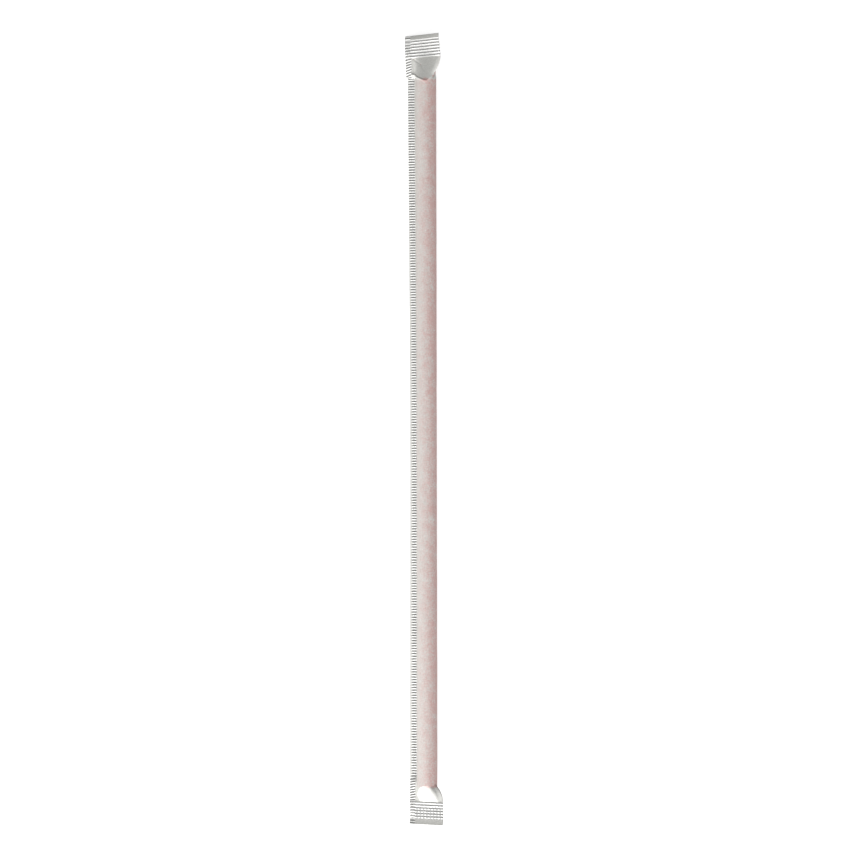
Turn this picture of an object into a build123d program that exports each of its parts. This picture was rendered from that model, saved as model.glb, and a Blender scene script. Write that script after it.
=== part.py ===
from build123d import *
import os
from math import asin, cos, degrees, pi, radians, sin, sqrt, tan

os.makedirs("parts", exist_ok=True)

# A drinking straw sealed in a paper wrapper, lying on a surface at Z = 0.
#
# The straw runs along Y. One sheet of thin paper is folded round it as a sleeve. The sheet's
# two long edges are pressed together as a fin on the -X side, and beyond the straw's rims the
# sleeve narrows through a neck to a flat seal, with the fin running on beside it. The wrapper
# rests on the sleeve and on the free edge of the fin. The seals' crimp is a texture finer than
# the seal is thick, so it isn't cut here.
#
# The origin is on the surface, under the straw's axis, half way along the wrapper.
# Sizes are in millimetres and angles in degrees.

# Drinking straw: a plain straight tube.
straw_length = 196.85
straw_diameter = 5.2
straw_wall = 0.16

# Sheet of paper, and the room that it leaves round the straw and past its rims.
paper = 0.1
straw_clearance = 0.05
rim_gap = 0.3

# Last gap between the plies, where a seal closes it.
seam_gap = 0.03

# Sleeve: two flanks leave the straw at a tangent and meet at the fin's root. The root lies
# this far outside the round of the sleeve, in a direction this far below the horizontal.
root_reach = 0.62
sleeve_tilt = 36.0
fin_width = 1.95

# End seals: flat, with one edge at the fin's root and the other, a fold, held higher up.
seal_length = 6.3

# Top end (+Y): the seal is a little askew, and it twists towards its cut edge.
top_neck = 6.05
top_tilt = 25.0
top_tip_tilt = 31.0
top_fin_slope = 31.0
top_shift = -0.05
top_tip_shift = -0.45
top_skew = 3.5

# Bottom end (-Y): the seal is square to the straw.
bottom_neck = 3.9
bottom_tilt = 31.0
bottom_fin_slope = 40.0
bottom_shift = 0.55

# Round part of the sleeve.
sleeve_radius = straw_diameter / 2 + straw_clearance + paper
bore_radius = sleeve_radius - paper
root_distance = sleeve_radius + root_reach
flank_angle = asin(sleeve_radius / root_distance)
flank_length = sqrt(root_distance**2 - sleeve_radius**2)
sleeve_root_height = sleeve_radius - root_distance * sin(radians(sleeve_tilt))
sleeve_fin_slope = degrees(asin((sleeve_root_height - paper) / fin_width))

# Pressed flat, the sleeve is half as wide as it is far round.
flat_width = flank_length + sleeve_radius * (pi / 2 + flank_angle)

# Stations along the straw.
wrapper_length = straw_length + 2 * rim_gap + top_neck + bottom_neck + 2 * seal_length
top_edge = wrapper_length / 2
top_seal_start = top_edge - seal_length
sleeve_top = top_seal_start - top_neck
bottom_edge = -wrapper_length / 2
bottom_seal_start = bottom_edge + seal_length
sleeve_bottom = bottom_seal_start + bottom_neck


def cross_plane(x, y, z, tilt, skew=0.0):
    """Plane across the straw. Its own X runs from the fin's root towards the far fold."""
    t = radians(tilt)
    k = radians(skew)
    across = (cos(t) * cos(k), cos(t) * sin(k), sin(t))
    return Plane(origin=(x, y, z), x_dir=across, z_dir=(sin(k), -cos(k), 0))


def sleeve_plane(y):
    """Plane across the sleeve, with its origin on the straw's axis."""
    return cross_plane(0, y, sleeve_radius, sleeve_tilt)


def seal_plane(y, shift, tilt, fin_slope, skew=0.0):
    """Plane across a flat seal, high enough for the fin's free edge to rest on the surface."""
    root_height = paper + fin_width * sin(radians(fin_slope))
    middle = root_height + flat_width / 2 * sin(radians(tilt))
    return cross_plane(shift, y, middle, tilt, skew)


def fin_edge(root, bend):
    """Upper and lower corner of the fin's free edge. The fin is two plies thick."""
    b = radians(bend)
    along = Vector(-cos(b), sin(b)) * fin_width
    up = Vector(sin(b), cos(b)) * paper
    return root + along + up, root + along - up


def round_outline(bend):
    """Outside of the sleeve round the straw, with its flanks and fin."""
    b = radians(bend)
    root = Vector(-root_distance, 0)
    upper = Vector(cos(flank_angle), sin(flank_angle))
    lower = Vector(cos(flank_angle), -sin(flank_angle))
    fin_top, fin_under = fin_edge(root, bend)
    root_top = root + upper * (paper / sin(flank_angle + b))
    root_under = root + lower * (paper / sin(flank_angle - b))
    tangent_top = root + upper * flank_length
    tangent_under = root + lower * flank_length
    fold = asin(paper / sleeve_radius)
    fold_top = Vector(cos(fold), sin(fold)) * sleeve_radius
    fold_under = Vector(cos(fold), -sin(fold)) * sleeve_radius
    return make_face([
        Line(fin_top, root_top),
        Line(root_top, tangent_top),
        ThreePointArc(tangent_top, (0, sleeve_radius), fold_top),
        ThreePointArc(fold_top, (sleeve_radius, 0), fold_under),
        ThreePointArc(fold_under, (0, -sleeve_radius), tangent_under),
        Line(tangent_under, root_under),
        Line(root_under, fin_under),
        Line(fin_under, fin_top),
    ])


def round_bore():
    """Inside of the sleeve round the straw, with a narrow face at the fin's root."""
    root = Vector(-root_distance + paper / sin(flank_angle), 0)
    upper = Vector(cos(flank_angle), sin(flank_angle))
    lower = Vector(cos(flank_angle), -sin(flank_angle))
    start = seam_gap / 2 / sin(flank_angle)
    reach = flank_length - paper / tan(flank_angle)
    fold = asin(seam_gap / 2 / bore_radius)
    fold_top = Vector(cos(fold), sin(fold)) * bore_radius
    fold_under = Vector(cos(fold), -sin(fold)) * bore_radius
    return make_face([
        Line(root + lower * start, root + upper * start),
        Line(root + upper * start, root + upper * reach),
        ThreePointArc(root + upper * reach, (0, bore_radius), fold_top),
        ThreePointArc(fold_top, (bore_radius, 0), fold_under),
        ThreePointArc(fold_under, (0, -bore_radius), root + lower * reach),
        Line(root + lower * reach, root + lower * start),
    ])


def flat_outline(bend):
    """Outside of a seal: two plies pressed flat, and the fin bent down beside them."""
    mitre = paper * tan(radians(bend) / 2)
    root = Vector(-flat_width / 2, 0)
    fin_top, fin_under = fin_edge(root, bend)
    root_top = root + Vector(mitre, paper)
    root_under = root + Vector(-mitre, -paper)
    knee_top = root + Vector(flank_length, paper)
    knee_under = root + Vector(flank_length, -paper)
    fold_top = Vector(flat_width / 2, paper)
    fold_under = Vector(flat_width / 2, -paper)
    return make_face([
        Line(fin_top, root_top),
        Line(root_top, knee_top),
        Line(knee_top, fold_top),
        Line(fold_top, fold_under),
        Line(fold_under, knee_under),
        Line(knee_under, root_under),
        Line(root_under, fin_under),
        Line(fin_under, fin_top),
    ])


def flat_bore():
    """Last of the space between the plies, where a seal closes it."""
    half = seam_gap / 2
    left = -flat_width / 2 + paper
    right = flat_width / 2 - paper
    knee = left + flank_length
    return make_face([
        Line((left, -half), (left, half)),
        Line((left, half), (knee, half)),
        Line((knee, half), (right, half)),
        Line((right, half), (right, -half)),
        Line((right, -half), (knee, -half)),
        Line((knee, -half), (left, -half)),
    ])


def between(start, end):
    """Solid with straight lines from one section to the other."""
    return loft([start, end], ruled=True)


def make_sleeve():
    """Paper round the straw, from neck to neck."""
    outline = round_outline(sleeve_tilt - sleeve_fin_slope)
    start = sleeve_plane(sleeve_bottom)
    end = sleeve_plane(sleeve_top)
    return between(start * outline, end * outline) - between(start * round_bore(), end * round_bore())


def make_neck(sleeve_end, seal_start, seal_bend):
    """Paper that goes from round, at a rim of the straw, to flat, at a seal."""
    round_face = round_outline(sleeve_tilt - sleeve_fin_slope)
    outside = between(sleeve_end * round_face, seal_start * flat_outline(seal_bend))
    return outside - between(sleeve_end * round_bore(), seal_start * flat_bore())


def make_paper_wrapper():
    """One sheet of paper, folded round the straw and sealed along its fin and at both ends."""
    top_start = seal_plane(top_seal_start, top_shift, top_tilt, top_fin_slope, top_skew)
    top_end = seal_plane(top_edge, top_tip_shift, top_tip_tilt, top_fin_slope, top_skew)
    bottom_start = seal_plane(bottom_seal_start, bottom_shift, bottom_tilt, bottom_fin_slope)
    bottom_end = seal_plane(bottom_edge, bottom_shift, bottom_tilt, bottom_fin_slope)
    top_bend = top_tilt - top_fin_slope
    top_tip_bend = top_tip_tilt - top_fin_slope
    bottom_bend = bottom_tilt - bottom_fin_slope

    wrapper = make_sleeve()
    wrapper += make_neck(sleeve_plane(sleeve_top), top_start, top_bend)
    wrapper += make_neck(sleeve_plane(sleeve_bottom), bottom_start, bottom_bend)
    wrapper += between(top_start * flat_outline(top_bend), top_end * flat_outline(top_tip_bend))
    wrapper += between(bottom_start * flat_outline(bottom_bend), bottom_end * flat_outline(bottom_bend))
    return wrapper


def make_drinking_straw():
    """Straight tube on the sleeve's axis, with both rims clear of the necks."""
    middle = (sleeve_top + sleeve_bottom) / 2
    along = Plane(origin=(0, middle, sleeve_radius), x_dir=(1, 0, 0), z_dir=(0, 1, 0))
    outside = Cylinder(straw_diameter / 2, straw_length)
    bore = Cylinder(straw_diameter / 2 - straw_wall, straw_length)
    return along * (outside - bore)


export_step(make_paper_wrapper(), "parts/paper_wrapper.step")
export_step(make_drinking_straw(), "parts/drinking_straw.step")
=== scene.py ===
from math import asin, cos, pi, radians, sin, sqrt, tan
from types import SimpleNamespace

import bmesh
import bpy
import numpy as np
from mathutils import Euler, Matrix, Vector


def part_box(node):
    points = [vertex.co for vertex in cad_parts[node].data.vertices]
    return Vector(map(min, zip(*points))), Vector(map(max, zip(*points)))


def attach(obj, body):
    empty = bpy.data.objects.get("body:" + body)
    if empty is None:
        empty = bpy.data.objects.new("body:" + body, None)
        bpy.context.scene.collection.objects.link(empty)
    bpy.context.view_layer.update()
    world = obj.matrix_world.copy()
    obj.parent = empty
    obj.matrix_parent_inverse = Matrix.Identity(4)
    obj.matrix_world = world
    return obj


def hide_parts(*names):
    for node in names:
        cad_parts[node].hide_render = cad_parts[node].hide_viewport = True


# A drinking straw sealed in a paper wrapper: the wrapper's folds, crimps and creases, the
# finish of its paper with its painted glow, shade and highlight, and of the straw that shows
# through it, and the studio round it.
#
# Sizes are in millimetres and angles in degrees, and a mesh is scaled to metres as it is made.
# The straw runs along Y, +Z is up, and the wrapper's fin lies on the -X side. "Outward" is the
# distance from the origin along the straw, towards either end.

MM = 0.001

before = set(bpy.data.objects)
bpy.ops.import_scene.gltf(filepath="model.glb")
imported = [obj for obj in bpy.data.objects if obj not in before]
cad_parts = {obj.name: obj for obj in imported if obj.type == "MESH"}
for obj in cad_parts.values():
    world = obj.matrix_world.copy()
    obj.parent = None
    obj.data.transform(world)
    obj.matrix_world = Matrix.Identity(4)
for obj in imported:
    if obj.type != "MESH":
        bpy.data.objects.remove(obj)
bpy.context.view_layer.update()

# Places that the frame gives.
wrapper_low = np.array(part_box("paper_wrapper")[0]) / MM
straw_low = np.array(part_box("drinking_straw")[0]) / MM
straw_high = np.array(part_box("drinking_straw")[1]) / MM
sleeve_radius = (straw_low[2] + straw_high[2]) / 2
wrapper_reach = -wrapper_low[1]

# Sheet of paper, and how it leaves the straw for the fin.
paper = 0.1
seam_gap = 0.03
root_reach = 0.62
sleeve_tilt = 36.0
fin_width = 1.95

# Sleeve: the section round the straw, with two flanks that meet at the fin's root.
bore_radius = sleeve_radius - paper
root_distance = sleeve_radius + root_reach
flank_angle = asin(sleeve_radius / root_distance)
flank_length = sqrt(root_distance**2 - sleeve_radius**2)
half_girth = flank_length + sleeve_radius * (pi / 2 + flank_angle)
sleeve_root = (
    -root_distance * cos(radians(sleeve_tilt)),
    sleeve_radius - root_distance * sin(radians(sleeve_tilt)),
)
sleeve_fin_slope = asin((sleeve_root[1] - paper) / fin_width)

# The paper leaves the straw a little earlier towards the ends, which moves the fin outwards.
slack_start = 12.0
slack_full = 90.0
top_slack = 0.46
bottom_slack = 0.18
slack_width = 2.6
slack_ease = 1.3

# Each ply grows at the fin's root, by the mitre of the fold between them.
upper_mitre = 1.06 * paper
lower_mitre = 1.6 * paper
mitre_width = 1.2

# The sheet stays this far above the floor.
floor_gap = 0.004

# Crimps. A rib crosses the fin, and a ridge crosses an end seal. The ribs end at a margin from
# the fin's free edge, which narrows to nothing over a stretch towards each end. The bottom end's
# cells begin over cell_start, measured from where its seal starts.
rib_pitch = 0.7252
rib_offset = 0.54
rib_height = 0.17
rib_rise = 0.5
rib_margin = 0.47
top_margin_end = (22.0, 88.0)
bottom_margin_end = (96.0, 97.5)
ridge_height = 0.2
cell_start = (1.2, 1.8)
groove_ease = 1.3
band_ease = 1.3
seal_length = 6.3

# Mesh. Rows run across the straw and columns along it. The fin has every row, and the sleeve's
# plies have one in eleven. Beside the far fold there are two more columns, close to it.
sleeve_end = 96.0
seal_rows = 61
coarse_rows = 168
fine_per_coarse = 11
fin_columns = 8
half_columns = 54
beside_fold = (paper, 0.35 * paper)

# Mesh of the paper's inner skin, which ends just before the seals.
bore_columns = 18
bore_rows = 41
bore_neck_rows = 22
bore_end_gap = 0.2

TOP = SimpleNamespace(
    sign=1,
    seal_start=wrapper_reach - seal_length,
    rim=straw_high[1],
    tilt=25.0,
    tip_tilt=32.0,
    fin_slope=31.0,
    shift=-0.05,
    tip_shift=-0.5,
    skew=3.5,
    slack=top_slack,
    neck_rows=52,
    collar_rows=24,
    ridge_pitch=0.81,
    ridge_rise=0.66,
    plain_band=1.15,
    band_droop=0.36,
    band_grey=0.12,
    groove_grey=1.0,
    cell_width=0.0,
)
BOTTOM = SimpleNamespace(
    sign=-1,
    seal_start=wrapper_reach - seal_length,
    rim=-straw_low[1],
    tilt=31.0,
    tip_tilt=31.0,
    fin_slope=40.0,
    shift=0.55,
    tip_shift=0.55,
    skew=0.0,
    slack=bottom_slack,
    neck_rows=45,
    collar_rows=45,
    ridge_pitch=0.79,
    ridge_rise=0.58,
    plain_band=1.5,
    band_droop=-0.3,
    band_grey=0.12,
    groove_grey=0.7,
    cell_width=1.08,
)
ENDS = (BOTTOM, TOP)

# Where each end stops following the straw. A pair is the paper between the fin's root and a
# place, and the outward distance there. The upper ply's line is a V at the top end and an arch
# at the bottom end. The lower ply's line is a shallow V at the top end, and nearly so at the
# bottom end.
TOP.upper_start = ((0.0, 99.2), (5.9, 97.0), (6.4, 97.0), (8.4, 98.9), (8.9, 99.2))
TOP.lower_start = ((0.0, 99.2), (2.85, 97.4), (7.1, 99.2), (8.9, 99.2))
BOTTOM.upper_start = (
    (0.0, 100.8), (1.2, 101.9), (2.3, 101.6), (4.2, 99.5), (5.4, 99.0), (7.6, 99.2), (8.9, 98.8),
)
BOTTOM.lower_start = ((0.0, 100.8), (2.85, 99.6), (7.1, 100.2), (8.9, 98.6))

# How the fin and the far fold leave the sleeve for the seal. The root makes root_share of its
# way over root_turn, and the rest of it up to the seal. The fin's free edge leaves at tip_start.
# An ease above 1 moves an edge early. The lean turns the fin along the straw.
TOP.root_turn = (97.6, 98.7)
TOP.root_share = 0.86
TOP.tip_start = 96.7
TOP.tip_ease = 2.3
TOP.fold_ease = 1.8
TOP.lean = ((97.9, 0.0), (98.9, 17.0), (103.0, 15.0), (104.2, 3.5), (110.0, 3.5))
BOTTOM.root_turn = (96.2, 98.4)
BOTTOM.root_share = 1.0
BOTTOM.tip_start = 96.2
BOTTOM.tip_ease = 1.0
BOTTOM.fold_ease = 2.1
BOTTOM.lean = ((96.4, 0.0), (97.6, -9.0), (102.6, -9.0), (103.9, 0.0), (110.0, 0.0))

# Paper from the fin's root that moves with the root, that leaves early with it at the bottom
# end, and that eases with the far fold.
root_zone = 1.6
bottom_root_zone = 2.0
fold_zone = (8.1, 8.85)

# Loose paper on the sleeve stands off the straw in waves.
loose_height = 0.05
loose_lengths = (31.0, 17.0, 47.0)
loose_round_lengths = (23.0, 41.0)
loose_from_root = (0.3, 1.5)
fin_wave_height = 0.05
fin_wave_lengths = (61.0, 23.0, 14.0)

# Lip along the top end's V: how far it rises on the straw's side and falls past it, its height,
# and how much higher it is towards the fin's root. Painted shade darkens the crease past the lip.
# Both are kept to Y above top_part.
top_part = 90.0
lip_rise = 0.8
lip_fall = 0.22
lip_height = 0.08
lip_more = 0.14
lip_zone = (1.0, 6.4)
crease_grey = 0.5
crease_past = 0.16
crease_width = 0.17
crease_zone = (5.0, 6.6)

# Notch where the top end's V meets the right side.
notch_y = 99.15
notch_length = 0.55
notch_width = 1.5
notch_depth = 0.42

# Dents in the upper ply beside the necks: X, Y, radius and depth.
DENTS = (
    (2.05, 98.35, 0.38, 0.3),
    (1.5, -99.45, 0.36, 0.24),
)

# Small folds in the necks' upper ply: both ends in X and Y, height and width.
FOLDS = (
    (-3.6, 103.5, -1.5, 101.7, -0.12, 0.22),
    (-1.5, 101.7, -0.6, 100.0, -0.05, 0.3),
    (-3.7, 101.0, -3.6, 98.9, 0.08, 0.15),
    (1.6, 103.4, 0.9, 99.6, 0.05, 0.35),
    (3.0, 102.9, 2.0, 100.2, 0.05, 0.3),
    (-1.2, -103.4, -0.4, -100.3, 0.04, 0.3),
    (2.8, -103.4, 2.2, -101.0, 0.05, 0.25),
    (0.9, -103.5, 0.8, -102.2, -0.04, 0.25),
)

# How much of the straw's red shows through the paper: least on the fin's side, where the paper
# leaves it, and most on the right side, partly where the paper touches the straw and partly a
# painted red glow on the shaded side; a little more on the right side towards the top end, and
# again through the paper that lies over its rims.
least_shown = 0.22
contact_and_shade_turn = 10.0
contact_and_shade_ease = 0.95
top_shown = 0.12
shown_from_root = (0.2, 1.6)
top_rim_shown = 0.8
bottom_rim_shown = 0.3

# Painted shade in a crimp: greys of the walls of the cells and of the fin's seal grooves,
# and how far the ribs' shade fades in a seal.
wall_grey = 0.5
fin_seal_grey = 0.8
rib_fade = 0.6

# Colours. Paper and pink go from the weave's thin places to its thick ones.
PAPER_THIN = (0.66, 0.66, 0.62, 1)
PAPER_THICK = (0.88, 0.875, 0.84, 1)
PINK_THIN = (0.66, 0.43, 0.40, 1)
PINK_THICK = (0.82, 0.59, 0.56, 1)
# The crimps' painted highlight, and the painted shade of grooves, bands and creases.
CRIMP_HIGHLIGHT = (0.97, 0.97, 0.95, 1)
GROOVE_SHADE = (0.03, 0.03, 0.027, 1)
STRAW_DARK = (0.36, 0.012, 0.012, 1)
STRAW_BRIGHT = (0.56, 0.035, 0.03, 1)
FLOOR_WHITE = (0.75, 0.75, 0.75, 1)
GLOW_WHITE = (1, 1, 1, 1)
ROOM_WHITE = (0.93, 0.93, 0.93, 1)

# Studio. These places are in metres.
floor_radius = 4.0
window_way = (-0.2, -0.95, 0.1)
window_light = 0.68
room_light = 0.7
softbox_place = (-0.12, -0.78, 0.16)
softbox_size = 0.3
softbox_power = 8.0

# Camera: how much of the floor its picture spans, its turn, and the place that it looks at.
image_span = 236.7
camera_roll = 0.095
aim_x = -0.48
aim_y = 1.25
camera_lens = 200.0
camera_sensor = 36.0


def ramp(x, start, end):
    """0 before start, 1 after end, and a smooth turn between them."""
    t = np.clip((x - start) / (end - start), 0, 1)
    return t * t * (3 - 2 * t)


def bell(x, width):
    """1 at nothing, falling to 0 on both sides over about two widths."""
    return np.exp(-((x / width) ** 2))


def along_line(points, x):
    """Height of a line through a few points, level beyond its ends."""
    return np.interp(x, [p[0] for p in points], [p[1] for p in points])


def waves(rng, x, lengths):
    """Sum of gentle waves with seeded phases, from -1 to 1."""
    total = sum(np.sin(2 * pi * x / length + rng.uniform(0, 2 * pi)) for length in lengths)
    return total / len(lengths)


def saw(phase, rise):
    """Wave from -1 to 1 that rises over the given share of its length and then falls."""
    p = np.mod(phase, 1.0)
    up = p / rise
    down = (1 - p) / (1 - rise)
    return 2 * np.minimum(up, down) - 1


def away_side(phase, rise):
    """1 in the middle of the wave's falling side, away from the window, and 0 on its rising side."""
    p = np.mod(phase, 1.0)
    even = np.where(p < rise, 0.5 * p / rise, 0.5 + 0.5 * (p - rise) / (1 - rise))
    return np.clip(-np.sin(2 * pi * even), 0, 1) ** groove_ease


def into_world(u, v, origin_x, origin_z, tilt, skew=0.0):
    """Point of a tilted section: X, its move along Y, and Z."""
    across = u * np.cos(tilt) - v * np.sin(tilt)
    up = u * np.sin(tilt) + v * np.cos(tilt)
    return origin_x + across * np.cos(skew), across * np.sin(skew), origin_z + up


def columns():
    """The ring of columns: upper fin, upper ply, far fold, lower ply and lower fin.

    A column's reach is the paper between it and the fin's root, below 0 on the fin. Its side is
    1 on the upper ply and -1 on the lower one.
    """
    share = np.linspace(0, 1, half_columns + 1)[:-1]
    ply = np.concatenate([half_girth * share, half_girth - np.array(beside_fold)])
    fin = -fin_width * np.linspace(1, 1 / fin_columns, fin_columns)
    half = np.concatenate([fin, ply])
    reach = np.concatenate([half, [half_girth], half[::-1]])
    side = np.concatenate([np.ones(len(half)), [0.0], -np.ones(len(half))])
    return reach, side


def start_of(end, reach, side):
    """Outward distance at which each column stops following the straw."""
    upper = along_line(end.upper_start, reach)
    lower = along_line(end.lower_start, reach)
    return np.where(side >= 0, upper, lower)


def stations(reach, side):
    """Y of every row on every column, from the bottom edge to the top edge."""
    flat = np.zeros(len(reach))
    bottom_start = start_of(BOTTOM, np.maximum(reach, 0), side)
    top_start = start_of(TOP, np.maximum(reach, 0), side)
    stops = [
        (flat - wrapper_reach, seal_rows),
        (flat - BOTTOM.seal_start, BOTTOM.neck_rows),
        (-bottom_start, BOTTOM.collar_rows),
        (flat - sleeve_end, coarse_rows * fine_per_coarse),
        (flat + sleeve_end, TOP.collar_rows),
        (top_start, TOP.neck_rows),
        (flat + TOP.seal_start, seal_rows),
        (flat + wrapper_reach, 1),
    ]
    zones = []
    for (start, rows), (stop, _) in zip(stops, stops[1:]):
        zones.append(np.linspace(start, stop, rows, endpoint=False))
    zones.append(stops[-1][0][None, :])
    return np.concatenate(zones)


def shared_rows():
    """For each row, whether every column has a point there. The fin's columns have all rows."""
    before = seal_rows + BOTTOM.neck_rows + BOTTOM.collar_rows
    sleeve = coarse_rows * fine_per_coarse
    after = TOP.collar_rows + TOP.neck_rows + seal_rows + 1
    in_sleeve = np.zeros(before + sleeve + after, bool)
    in_sleeve[before + 1 : before + sleeve] = True
    place = np.arange(len(in_sleeve)) - before
    return ~in_sleeve | (place % fine_per_coarse == 0)


def slack_at(y):
    """How far the fin's root stands outside its place half way along the straw."""
    span = slack_full - slack_start
    top = np.clip((y - slack_start) / span, 0, 1) * TOP.slack
    bottom = np.clip((-y - slack_start) / span, 0, 1) * BOTTOM.slack
    return top + bottom


def round_section(reach, side, y, radius=sleeve_radius):
    """Points of the sleeve round the straw, for the outer skin or the bore."""
    inset = sleeve_radius - radius
    apex = -root_distance + inset / sin(flank_angle)
    flank = flank_length - inset / tan(flank_angle)
    girth = flank + radius * (pi / 2 + flank_angle)
    a = reach * girth / half_girth
    angle = pi / 2 + flank_angle - (a - flank) / radius
    on_flank = a < flank
    u = np.where(on_flank, apex + a * cos(flank_angle), radius * np.cos(angle))
    v = np.where(on_flank, a * sin(flank_angle), radius * np.sin(angle)) * side
    x, _, z = into_world(u, v, 0, sleeve_radius, radians(sleeve_tilt))
    return x - slack_at(y) * np.clip(1 - reach / slack_width, 0, 1) ** slack_ease, z


def seal_angles(end, outward):
    """Tilt, shift and height of a seal's middle at an outward distance."""
    t = np.clip((outward - end.seal_start) / seal_length, 0, 1)
    tilt = np.radians(end.tilt + (end.tip_tilt - end.tilt) * t)
    shift = end.shift + (end.tip_shift - end.shift) * t
    middle = paper + fin_width * sin(radians(end.fin_slope)) + half_girth / 2 * np.sin(tilt)
    return tilt, shift, middle


def flat_section(end, reach, side, outward, half_thickness):
    """Points of a seal, pressed flat, and how far its skew moves them along Y."""
    tilt, shift, middle = seal_angles(end, outward)
    to_fold = np.clip((half_girth - reach) / paper, 0, 1)
    to_root = np.clip(reach / paper, 0, 1) if half_thickness < paper else 1.0
    thick = half_thickness * np.sqrt(1 - (1 - to_fold) ** 2) * to_root
    inset = paper - half_thickness
    u = (reach - half_girth / 2) * (1 - 2 * inset / half_girth)
    return into_world(u, thick * side, shift, middle, tilt, radians(end.skew))


def ply_weight(end, reach, outward, start):
    """0 where a ply follows the straw, 1 where it is flat."""
    if end is BOTTOM:
        past_root = ramp(reach, 0.0, bottom_root_zone)
        start = end.root_turn[0] * (1 - past_root) + start * past_root
    t = np.clip((outward - start) / (end.seal_start - start), 0, 1)
    ease = 1 + (end.fold_ease - 1) * ramp(reach, *fold_zone)
    from_fold = 1 - (1 - t) ** ease
    to_root = ramp(reach, root_zone, 0.0)
    return from_fold * (1 - to_root) + root_weight(end, outward) * to_root


def root_weight(end, outward):
    """How far the fin's root has moved from the sleeve to the seal."""
    turned = ramp(outward, *end.root_turn) * end.root_share
    rest = np.clip((outward - end.root_turn[1]) / (end.seal_start - end.root_turn[1]), 0, 1)
    return turned + (1 - end.root_share) * rest


def flattened(x, z, reach, side, y, starts, half_thickness):
    """Points of the sleeve's section, moved towards the flat seals past each end's starts."""
    moved = np.zeros_like(x)
    for end in ENDS:
        outward = y * end.sign
        weight = ply_weight(end, reach, outward, starts[end.sign])
        flat_x, flat_y, flat_z = flat_section(end, reach, side, outward, half_thickness)
        x = x + weight * (flat_x - x)
        z = z + weight * (flat_z - z)
        moved = moved + weight * flat_y
    return np.stack([x, y + moved, z], -1)


def outer_plies(reach, side, y, starts):
    """Points of the wrapper's outer skin on both plies, before crimps and creases."""
    mitre = np.where(side >= 0, upper_mitre, lower_mitre)
    grown = reach + mitre * np.clip(1 - reach / mitre_width, 0, 1)
    x, z = round_section(grown, side, y)
    return flattened(x, z, reach, side, y, starts, paper)


def fin_frame(y):
    """Root and free edge of the fin's middle plane at each row, and its upward normal."""
    root = np.stack([sleeve_root[0] - slack_at(y), y, np.full_like(y, sleeve_root[1])], -1)
    reach = fin_width * np.stack([
        np.full_like(y, -cos(sleeve_fin_slope)), np.zeros_like(y), np.full_like(y, -sin(sleeve_fin_slope)),
    ], -1)
    tip = root + reach
    lean = np.zeros_like(y)
    for end in ENDS:
        outward = y * end.sign
        tilt, shift, middle = seal_angles(end, outward)
        half = half_girth / 2
        skew = radians(end.skew)
        slope = radians(end.fin_slope)
        flat_root = np.stack([
            shift - half * np.cos(tilt) * cos(skew),
            y - half * np.cos(tilt) * sin(skew),
            middle - half * np.sin(tilt),
        ], -1)
        flat_tip = flat_root + fin_width * np.array([-cos(slope), 0, -sin(slope)])
        t = np.clip((outward - end.tip_start) / (end.seal_start - end.tip_start), 0, 1)
        tip_weight = (1 - (1 - t) ** end.tip_ease)[:, None]
        root = root + root_weight(end, outward)[:, None] * (flat_root - root)
        tip = tip + tip_weight * (flat_tip - tip)
        lean = lean + np.radians(along_line(end.lean, outward)) * end.sign * (outward > 0)
    across = tip - root
    across[:, 1] = -np.sin(lean) * fin_width
    stretch = fin_width / np.linalg.norm(across, axis=1)
    tip = root + across * stretch[:, None]
    normal = np.cross(np.array([0.0, 1.0, 0.0]), across)
    normal = -normal / np.linalg.norm(normal, axis=1)[:, None]
    return root, tip, np.where(normal[:, 2:] < 0, -normal, normal)


def rib_strength(share, y):
    """How deep the fin's ribs are, by the share of its width from the root, at each row."""
    from_edge = (1 - share) * fin_width
    margin = rib_margin * (1 - ramp(y, *top_margin_end)) * (1 - ramp(-y, *bottom_margin_end))
    return ramp(from_edge, margin - 0.05, margin + 0.2)


def rib_phase(y):
    """Place in the wave of the fin's ribs, in wavelengths."""
    return (y - rib_offset) / rib_pitch + rib_rise / 2 + 0.5


def ridge_strength(end, outward):
    """1 on the crimped part of a seal, 0 elsewhere."""
    from_edge = wrapper_reach - outward
    past_neck = ramp(outward, end.seal_start - 0.05, end.seal_start + 0.25)
    before_band = ramp(from_edge, end.plain_band - 0.1, end.plain_band + 0.15)
    return past_neck * before_band


def ridge_phase(end, outward):
    """Place in the wave of a seal's ridges, in wavelengths. It runs the same way at both ends."""
    return (wrapper_reach - outward) / end.ridge_pitch * -end.sign


def cell_walls(end, across, outward):
    """1 on the walls that cut the bottom end's ridges into cells, 0 in the middle of a cell."""
    if not end.cell_width:
        return np.zeros_like(across * outward)
    cells = ramp(outward - end.seal_start, *cell_start)
    return cells * (0.5 - 0.5 * np.cos(2 * pi * across / end.cell_width))


def ridges(end, across, outward):
    """Height of a seal's crimp."""
    wave = saw(ridge_phase(end, outward), end.ridge_rise) * (1 - cell_walls(end, across, outward))
    return ridge_height * wave * ridge_strength(end, outward)


def ridge_shade(end, across, outward):
    """Painted shade of a seal's crimp, in its grooves and on the walls of the cells."""
    groove = away_side(ridge_phase(end, outward), end.ridge_rise)
    shade = np.maximum(groove * end.groove_grey, wall_grey * cell_walls(end, across, outward))
    return shade * ridge_strength(end, outward)


def band_shade(end, outward):
    """How grey the plain band past a seal's crimp is."""
    return ramp(wrapper_reach - outward, end.plain_band + 0.1, end.plain_band - 0.15) * end.band_grey


def seal_bend(end, outward):
    """How far the plain band past a seal's crimp droops."""
    from_edge = wrapper_reach - outward
    return -end.band_droop * np.clip(1 - from_edge / end.plain_band, 0, None) ** band_ease


def crimped_seals(points, reach, y):
    """Both plies of a seal move together with its crimp."""
    for end in ENDS:
        outward = y * end.sign
        tilt, _, _ = seal_angles(end, outward)
        height = ridges(end, reach, outward) + seal_bend(end, outward)
        points[..., 0] -= height * np.sin(tilt)
        points[..., 2] += height * np.cos(tilt)
    return points


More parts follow.
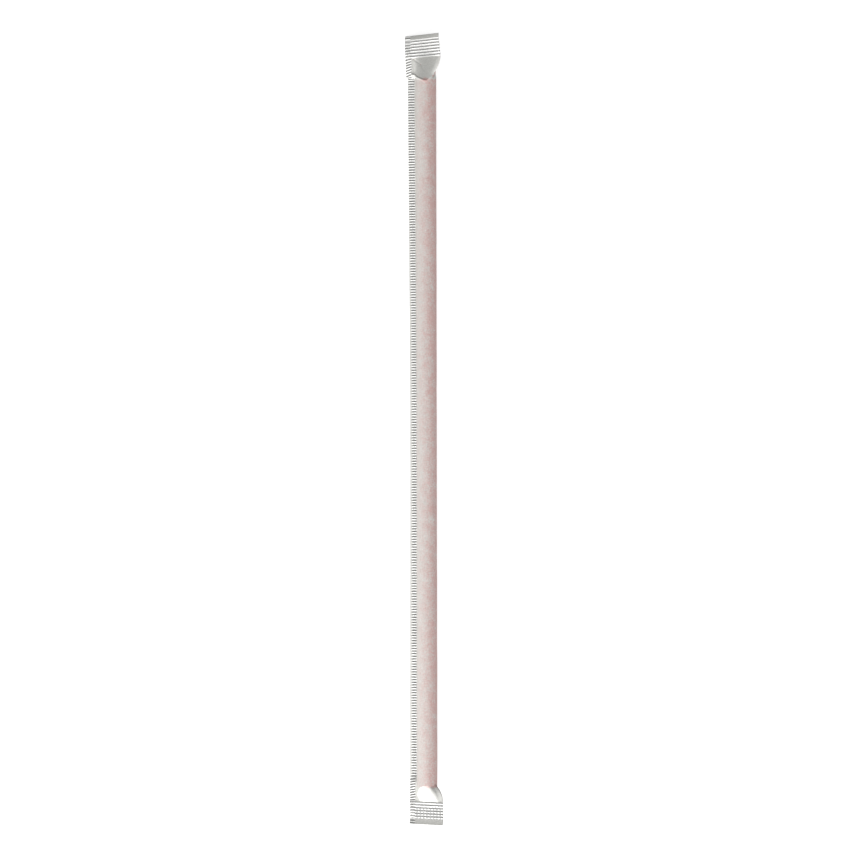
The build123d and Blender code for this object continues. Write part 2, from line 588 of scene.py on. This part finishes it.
def loose_paper(reach, side, y):
    """How far the paper stands off the straw in soft waves."""
    rng = np.random.default_rng(7)
    turn = reach * side
    along = waves(rng, y + 3 * turn, loose_lengths)
    around = waves(rng, y * 0.6 + 9 * turn, loose_round_lengths)
    return loose_height * (along * around + 1) * ramp(reach, *loose_from_root)


def v_lip(reach, past_v):
    """Height of the lip along the top end's V, by how far past the V a place is."""
    rise = np.clip(1 + past_v / lip_rise, 0, 1) ** 2 * (past_v <= 0)
    fall = bell(past_v, lip_fall) * (past_v > 0)
    return (rise + fall) * (lip_height + lip_more * (1 - ramp(reach, *lip_zone)))


def creases(points, reach, side, y, starts):
    """How far folds, dents and the loose paper move the plies, along their normals."""
    upper = (side > 0) * 1.0
    x = points[..., 0]
    depth = loose_paper(reach, side, y)
    depth = depth + upper * v_lip(reach, y - starts[1]) * (y > top_part)
    for dent_x, dent_y, radius, pit in DENTS:
        depth = depth - upper * pit * bell(np.hypot(x - dent_x, y - dent_y), radius)
    notch = bell(y - notch_y, notch_length) * bell(turn_from_right(reach, side), notch_width)
    depth = depth - notch_depth * notch
    for x0, y0, x1, y1, height, width in FOLDS:
        depth = depth + upper * height * near_segment(x, y, x0, y0, x1, y1, width)
    return depth


def turn_from_right(reach, side):
    """Paper between a place and the sleeve's rightmost line, going round the far fold."""
    rightmost = half_girth + sleeve_radius * radians(sleeve_tilt)
    round_ring = np.where(side >= 0, reach, 2 * half_girth - reach)
    return round_ring - rightmost


def near_segment(x, y, x0, y0, x1, y1, width):
    """Bell across a straight line, ended softly."""
    dx = x1 - x0
    dy = y1 - y0
    share = np.clip(((x - x0) * dx + (y - y0) * dy) / (dx * dx + dy * dy), 0, 1)
    return bell(np.hypot(x - x0 - share * dx, y - y0 - share * dy), width)


def straw_and_glow(points, reach, side, y):
    """Straw's red through the paper where it touches, with a painted glow on the shaded right side."""
    x = points[..., 0]
    angle = np.arctan2(points[..., 2] - sleeve_radius, x)
    # Strongest on the right side: partly where the paper lies on the straw, partly a painted red glow on
    # the shaded side.
    contact_and_shade_side = (1 + np.cos(angle + radians(contact_and_shade_turn))) / 2
    shown_and_glow = least_shown + (1 - least_shown) * contact_and_shade_side**contact_and_shade_ease
    shown_and_glow = shown_and_glow * (1 + top_shown * np.clip(y / 100, 0, 1) * (x > 0))
    within = ramp(TOP.rim - y, -0.35, 0.1) * ramp(y + BOTTOM.rim, -0.25, 0.1)
    top_rim = top_rim_shown * bell(x + 0.2, 0.6) * bell(y - TOP.rim, 0.5)
    bottom_rim = bottom_rim_shown * bell(x - 1.6, 1.5) * bell(y + BOTTOM.rim - 0.5, 0.6)
    past_root = ramp(reach, *shown_from_root)
    return np.clip((shown_and_glow * within + (top_rim + bottom_rim) * (side > 0)) * past_root, 0, 1)


def normals_of(points):
    """Outward normal at every point of a grid whose columns go round the ring."""
    along = np.gradient(points, axis=0)
    across = np.gradient(points, axis=1)
    normal = np.cross(across, along)
    return normal / np.maximum(np.linalg.norm(normal, axis=-1, keepdims=True), 1e-9)


def wrapper_grid():
    """Outer skin by row and column: points, red and painted glow, painted shade and highlight, column
    reach.
    """
    reach, side = columns()
    y = stations(reach, side)
    ply = reach >= 0
    starts = {1: start_of(TOP, reach[ply], side[ply]), -1: start_of(BOTTOM, reach[ply], side[ply])}
    points = np.zeros(y.shape + (3,))

    plies = outer_plies(reach[ply], side[ply], y[:, ply], starts)
    moved = creases(plies, reach[ply], side[ply], y[:, ply], starts)
    plies = plies + normals_of(plies) * moved[..., None]
    shown_and_glow = np.zeros(y.shape)
    shown_and_glow[:, ply] = straw_and_glow(plies, reach[ply], side[ply], y[:, ply])
    points[:, ply] = crimped_seals(plies, reach[ply], y[:, ply])
    points[:, ~ply] = fin_points(-reach[~ply] / fin_width, side[~ply], y[:, 0])
    points[..., 2] = np.maximum(points[..., 2], floor_gap)
    painted_shade, crimp_highlight = painted_shade_and_highlight(reach, side, y, starts)
    return points, shown_and_glow, painted_shade, crimp_highlight, reach


def painted_shade_and_highlight(reach, side, y, starts):
    """Painted shade, which greys the grooves, bands and crease, and the crimps' painted highlight."""
    ply = reach >= 0
    grey = np.zeros(y.shape)
    crimp_highlight = np.zeros(y.shape)
    for end in ENDS:
        outward = y * end.sign
        crimp_highlight = crimp_highlight + ridge_strength(end, outward)
        grey = grey + ridge_shade(end, np.maximum(reach, 0), outward) + band_shade(end, outward)
    past_v = y[:, ply] - starts[1]
    in_zone = (1 - ramp(reach[ply], *crease_zone)) * (side[ply] > 0)
    crease = crease_grey * bell(past_v - crease_past, crease_width) * in_zone
    grey[:, ply] += crease * (y[:, ply] > top_part)
    # Painted shade on the ribs' sides that face away from the window.
    groove = away_side(rib_phase(y[:, ~ply]), rib_rise)
    strength = rib_strength(-reach[~ply] / fin_width, y[:, ~ply])
    outside_seal = 1 - rib_fade * crimp_highlight[:, ~ply]
    grey[:, ~ply] = np.maximum(grey[:, ~ply] * fin_seal_grey, groove * strength * outside_seal)
    crimp_highlight[:, ~ply] = np.maximum(crimp_highlight[:, ~ply], strength)
    return np.clip(grey, 0, 1), np.clip(crimp_highlight, 0, 1)


def fin_points(share, side, y):
    """Both faces of the fin, which the ribs move together."""
    root, tip, normal = fin_frame(y)
    rng = np.random.default_rng(11)
    height = rib_height * saw(rib_phase(y), rib_rise)
    strength = rib_strength(share[None, :], y[:, None])
    wave = fin_wave_height * (waves(rng, y, fin_wave_lengths) + 1)
    bend = height[:, None] * strength + wave[:, None] * share[None, :] ** 2
    for end in ENDS:
        outward = y * end.sign
        bend = bend + (ridges(end, 0.0, outward) + seal_bend(end, outward))[:, None]
    middle = root[:, None] + (tip - root)[:, None] * share[None, :, None]
    return middle + normal[:, None] * (bend + paper * side[None, :])[..., None]


def grid_faces(index, shared, reach):
    """Faces of the outer skin: every row on the fin and its roots, shared rows elsewhere."""
    rows, count = index.shape
    every = reach <= 0
    coarse = np.flatnonzero(shared)
    faces = []
    for c in range(count):
        d = (c + 1) % count
        if every[c] and every[d]:
            faces += strip(index, range(rows), c, d)
        elif not every[c] and not every[d]:
            faces += strip(index, coarse, c, d)
        else:
            faces += stitched(index, coarse, c, d, every[c])
    return faces


def strip(index, rows, c, d):
    """Quads between two columns that have points on the same rows."""
    return [(index[r, c], index[r, d], index[s, d], index[s, c]) for r, s in zip(rows, rows[1:])]


def stitched(index, coarse, c, d, left_is_fine):
    """Triangles between a column with a point on every row and one with coarse rows."""
    faces = []
    for r, s in zip(coarse, coarse[1:]):
        if s == r + 1:
            faces.append((index[r, c], index[r, d], index[s, d], index[s, c]))
            continue
        middle = (r + s) // 2
        for k in range(r, s):
            corner = r if k < middle else s
            if left_is_fine:
                faces.append((index[k, c], index[corner, d], index[k + 1, c]))
            else:
                faces.append((index[corner, c], index[k, d], index[k + 1, d]))
        if left_is_fine:
            faces.append((index[middle, c], index[r, d], index[s, d]))
        else:
            faces.append((index[r, c], index[middle, d], index[s, c]))
    return faces


def cap(ring, flip):
    """Faces that close an end, each from the upper ply to the lower one, or to a shared corner."""
    faces = []
    last = len(ring) - 1
    for k in range(last // 2):
        corners = (ring[k], ring[last - k], ring[last - k - 1], ring[k + 1])
        face = tuple(dict.fromkeys(corners))
        faces.append(face[::-1] if flip else face)
    return faces


def bore_points():
    """Points of the paper's inner skin, row by column."""
    share = np.linspace(0, 1, bore_columns + 1)
    reach = half_girth * np.concatenate([share, share[-2:0:-1]])
    side = np.concatenate([np.ones(bore_columns + 1), -np.ones(bore_columns - 1)])
    ends = [np.linspace(sleeve_end, end.seal_start - bore_end_gap, bore_neck_rows) for end in ENDS]
    sleeve = np.linspace(-sleeve_end, sleeve_end, bore_rows)[1:-1]
    y = np.concatenate([-ends[0][::-1], sleeve, ends[1]])[:, None] + np.zeros(len(reach))
    starts = {end.sign: start_of(end, reach, side) for end in ENDS}
    x, z = round_section(reach, side, y, bore_radius)
    return flattened(x, z, reach, side, y, starts, seam_gap / 2)


def bore_faces(index):
    """Faces of the inner skin, which look into the bore, and of its two closed ends."""
    rows, count = index.shape
    faces = []
    for c in range(count):
        faces += [face[::-1] for face in strip(index, range(rows), c, (c + 1) % count)]
    for row, flip in ((0, True), (rows - 1, False)):
        faces += cap([*index[row], index[row, 0]], flip)
    return faces


def make_wrapper():
    """The paper wrapper: one closed outer skin, with the paper's inner skin inside it."""
    points, shown_and_glow, painted_shade, crimp_highlight, reach = wrapper_grid()
    shared = shared_rows()
    used = shared[:, None] | (reach <= 0)[None, :]
    index = np.full(used.shape, -1)
    index[used] = np.arange(used.sum())
    inner = bore_points()
    inner_index = used.sum() + np.arange(inner[..., 0].size).reshape(inner.shape[:2])

    faces = grid_faces(index, shared, reach)
    faces += cap(list(index[0]), False)
    faces += cap(list(index[-1]), True)
    faces += bore_faces(inner_index)
    vertices = np.concatenate([points[used], inner.reshape(-1, 3)]) * MM
    mesh = bpy.data.meshes.new("wrapper_sheet")
    mesh.from_pydata(vertices.tolist(), [], [tuple(int(i) for i in face) for face in faces])
    mesh.validate()
    add_values(mesh, "straw_and_glow", shown_and_glow[used], 1.0)
    add_values(mesh, "painted_shade", painted_shade[used], 0.0)
    add_values(mesh, "crimp_highlight", crimp_highlight[used], 0.0)
    mesh.shade_smooth()
    wrapper = bpy.data.objects.new("wrapper_sheet", mesh)
    bpy.context.scene.collection.objects.link(wrapper)
    return wrapper


def add_values(mesh, name, outer, inner):
    """Give the mesh a named value at each vertex: a list for the outer skin, one for the inner."""
    values = np.full(len(mesh.vertices), inner, np.float32)
    values[: len(outer)] = outer
    mesh.attributes.new(name, "FLOAT", "POINT").data.foreach_set("value", values)


class Nodes:
    """Short way to add and link the nodes of one material or world."""

    def __init__(self, owner):
        owner.use_nodes = True
        self.tree = owner.node_tree
        self.tree.nodes.clear()

    def add(self, kind, inputs=None, **settings):
        node = self.tree.nodes.new(kind)
        for name, value in settings.items():
            setattr(node, name, value)
        for name, value in (inputs or {}).items():
            self.fill(node.inputs[name], value)
        return node

    def fill(self, socket, value):
        """Link a socket to another one, or set it to a constant."""
        if isinstance(value, bpy.types.NodeSocket):
            self.tree.links.new(value, socket)
        else:
            socket.default_value = value

    def noise(self, vector, scale, detail=2.0, roughness=0.5):
        inputs = {"Vector": vector, "Scale": scale, "Detail": detail, "Roughness": roughness}
        return self.add("ShaderNodeTexNoise", inputs).outputs["Fac"]

    def stretched(self, vector, scale, turn=(0, 0, 0)):
        inputs = {"Vector": vector, "Scale": scale, "Rotation": [radians(t) for t in turn]}
        return self.add("ShaderNodeMapping", inputs).outputs["Vector"]

    def math(self, operation, a, b=0.0, c=0.0, clamp=False):
        node = self.add("ShaderNodeMath", {0: a, 1: b, 2: c}, operation=operation, use_clamp=clamp)
        return node.outputs["Value"]

    def between(self, share, low, high):
        """Mix of two colours."""
        inputs = {"Factor": share, "A": low, "B": high}
        node = self.add("ShaderNodeMix", data_type="RGBA")
        for socket in node.inputs:
            if socket.enabled and socket.name in inputs:
                self.fill(socket, inputs[socket.name])
        return next(s for s in node.outputs if s.enabled)


def paper_material():
    """Thin matt paper, with its fibres, the straw's red where they touch, and painted glow, shade and
    highlight.
    """
    material = bpy.data.materials.new("wrapper_paper")
    n = Nodes(material)
    place = n.add("ShaderNodeTexCoord").outputs["Object"]
    shown_and_glow = n.add("ShaderNodeAttribute", attribute_name="straw_and_glow").outputs["Fac"]
    specks = n.noise(place, 2300.0, 2.0, 0.6)
    clouds = n.noise(place, 420.0, 2.0, 0.5)
    fibres = n.noise(n.stretched(place, (5200.0, 900.0, 5200.0), (0, 0, 12)), 1.0, 2.0, 0.6)
    cross_fibres = n.noise(n.stretched(place, (900.0, 5200.0, 2600.0), (0, 0, -20)), 1.0, 2.0, 0.6)
    mottle = n.math("ADD", n.math("MULTIPLY", specks, 0.6), n.math("MULTIPLY", clouds, 0.4))
    uneven = n.math("MULTIPLY_ADD", n.math("SUBTRACT", mottle, 0.5), 4.5, 1.0)
    tint = n.math("MULTIPLY", shown_and_glow, uneven, clamp=True)
    crossed = n.math("SUBTRACT", n.math("ADD", fibres, cross_fibres), 1.0)
    weave = n.math("MULTIPLY_ADD", crossed, 1.1, 0.5, clamp=True)
    pale = n.between(weave, PAPER_THIN, PAPER_THICK)
    pink = n.between(weave, PINK_THIN, PINK_THICK)
    painted_shade = n.add("ShaderNodeAttribute", attribute_name="painted_shade").outputs["Fac"]
    crimp_highlight = n.add("ShaderNodeAttribute", attribute_name="crimp_highlight").outputs["Fac"]
    # Painted highlight whitens the crimps, and painted shade darkens grooves, bands and creases.
    white = n.between(crimp_highlight, n.between(tint, pale, pink), CRIMP_HIGHLIGHT)
    colour = n.between(painted_shade, white, GROOVE_SHADE)
    bump = n.add("ShaderNodeBump", {"Height": weave, "Strength": 0.35, "Distance": 0.00002})
    rough = n.math("MULTIPLY_ADD", clouds, 0.2, 0.5)
    shader = n.add("ShaderNodeBsdfPrincipled", {
        "Base Color": colour,
        "Roughness": rough,
        "Specular IOR Level": 0.3,
        "Normal": bump.outputs["Normal"],
    })
    n.add("ShaderNodeOutputMaterial", {"Surface": shader.outputs["BSDF"]})
    return material


def straw_material():
    """Extruded red plastic, with faint lines along it."""
    material = bpy.data.materials.new("straw_plastic")
    n = Nodes(material)
    place = n.add("ShaderNodeTexCoord").outputs["Object"]
    lines = n.noise(n.stretched(place, (2600.0, 12.0, 2600.0)), 1.0, 2.0, 0.5)
    clouds = n.noise(place, 160.0, 2.0, 0.5)
    mixed = n.math("ADD", n.math("MULTIPLY", lines, 0.6), n.math("MULTIPLY", clouds, 0.4))
    colour = n.between(mixed, STRAW_DARK, STRAW_BRIGHT)
    bump = n.add("ShaderNodeBump", {"Height": lines, "Strength": 0.2, "Distance": 0.00003})
    rough = n.math("MULTIPLY_ADD", clouds, 0.16, 0.24)
    shader = n.add("ShaderNodeBsdfPrincipled", {
        "Base Color": colour,
        "Roughness": rough,
        "Normal": bump.outputs["Normal"],
    })
    n.add("ShaderNodeOutputMaterial", {"Surface": shader.outputs["BSDF"]})
    return material


def make_floor():
    """Plain white studio floor, which the camera sees a little brighter than the paper does."""
    mesh = bpy.data.meshes.new("floor")
    plan = bmesh.new()
    bmesh.ops.create_circle(plan, cap_ends=True, segments=96, radius=floor_radius)
    plan.to_mesh(mesh)
    plan.free()
    floor = bpy.data.objects.new("floor", mesh)
    bpy.context.scene.collection.objects.link(floor)
    material = bpy.data.materials.new("floor_white")
    n = Nodes(material)
    seen = n.add("ShaderNodeLightPath").outputs["Is Camera Ray"]
    shader = n.add("ShaderNodeBsdfPrincipled", {
        "Base Color": FLOOR_WHITE,
        "Roughness": 0.9,
        "Specular IOR Level": 0.0,
        "Emission Color": GLOW_WHITE,
        "Emission Strength": n.math("MULTIPLY_ADD", seen, 0.6, 0.05),
    })
    n.add("ShaderNodeOutputMaterial", {"Surface": shader.outputs["BSDF"]})
    mesh.materials.append(material)


def light_room():
    """A pale room that is brighter towards the bottom end and the fin, where the window is."""
    world = bpy.data.worlds.new("studio")
    bpy.context.scene.world = world
    n = Nodes(world)
    direction = n.add("ShaderNodeTexCoord").outputs["Generated"]
    window = Vector(window_way).normalized()
    towards = n.add("ShaderNodeVectorMath", {0: direction, 1: window}, operation="DOT_PRODUCT")
    strength = n.math("MULTIPLY_ADD", towards.outputs["Value"], window_light, room_light)
    light = n.add("ShaderNodeBackground", {"Strength": strength})
    seen = n.add("ShaderNodeBackground", {"Color": ROOM_WHITE})
    ray = n.add("ShaderNodeLightPath").outputs["Is Camera Ray"]
    mix = n.add("ShaderNodeMixShader", {0: ray, 1: light.outputs[0], 2: seen.outputs[0]})
    n.add("ShaderNodeOutputWorld", {"Surface": mix.outputs["Shader"]})


def add_softbox():
    """A square area light at the window, turned towards the straw."""
    data = bpy.data.lights.new("window", "AREA")
    data.shape = "SQUARE"
    data.size = softbox_size
    data.energy = softbox_power
    light = bpy.data.objects.new("window", data)
    light.location = softbox_place
    light.rotation_euler = (-Vector(softbox_place)).to_track_quat("-Z", "Y").to_euler()
    bpy.context.scene.collection.objects.link(light)


def make_camera():
    """Long lens straight above the straw, with the top end up in the picture."""
    data = bpy.data.cameras.new("camera")
    data.lens = camera_lens
    data.sensor_width = camera_sensor
    data.clip_end = 20.0
    camera = bpy.data.objects.new("camera", data)
    distance = image_span * camera_lens / camera_sensor
    camera.location = Vector((aim_x, aim_y, sleeve_radius + distance)) * MM
    camera.rotation_euler = Euler((0, 0, -radians(camera_roll)))
    bpy.context.scene.collection.objects.link(camera)
    bpy.context.scene.camera = camera


def build():
    """The wrapper in place of its CAD solid, the straw's finish, and the studio."""
    wrapper = make_wrapper()
    wrapper.data.materials.append(paper_material())
    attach(wrapper, "root")
    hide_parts("paper_wrapper")

    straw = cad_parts["drinking_straw"]
    straw.data.materials.clear()
    straw.data.materials.append(straw_material())

    make_floor()
    light_room()
    add_softbox()
    make_camera()
    bpy.context.scene.view_settings.view_transform = "Standard"
    bpy.context.scene.view_settings.look = "None"


build()
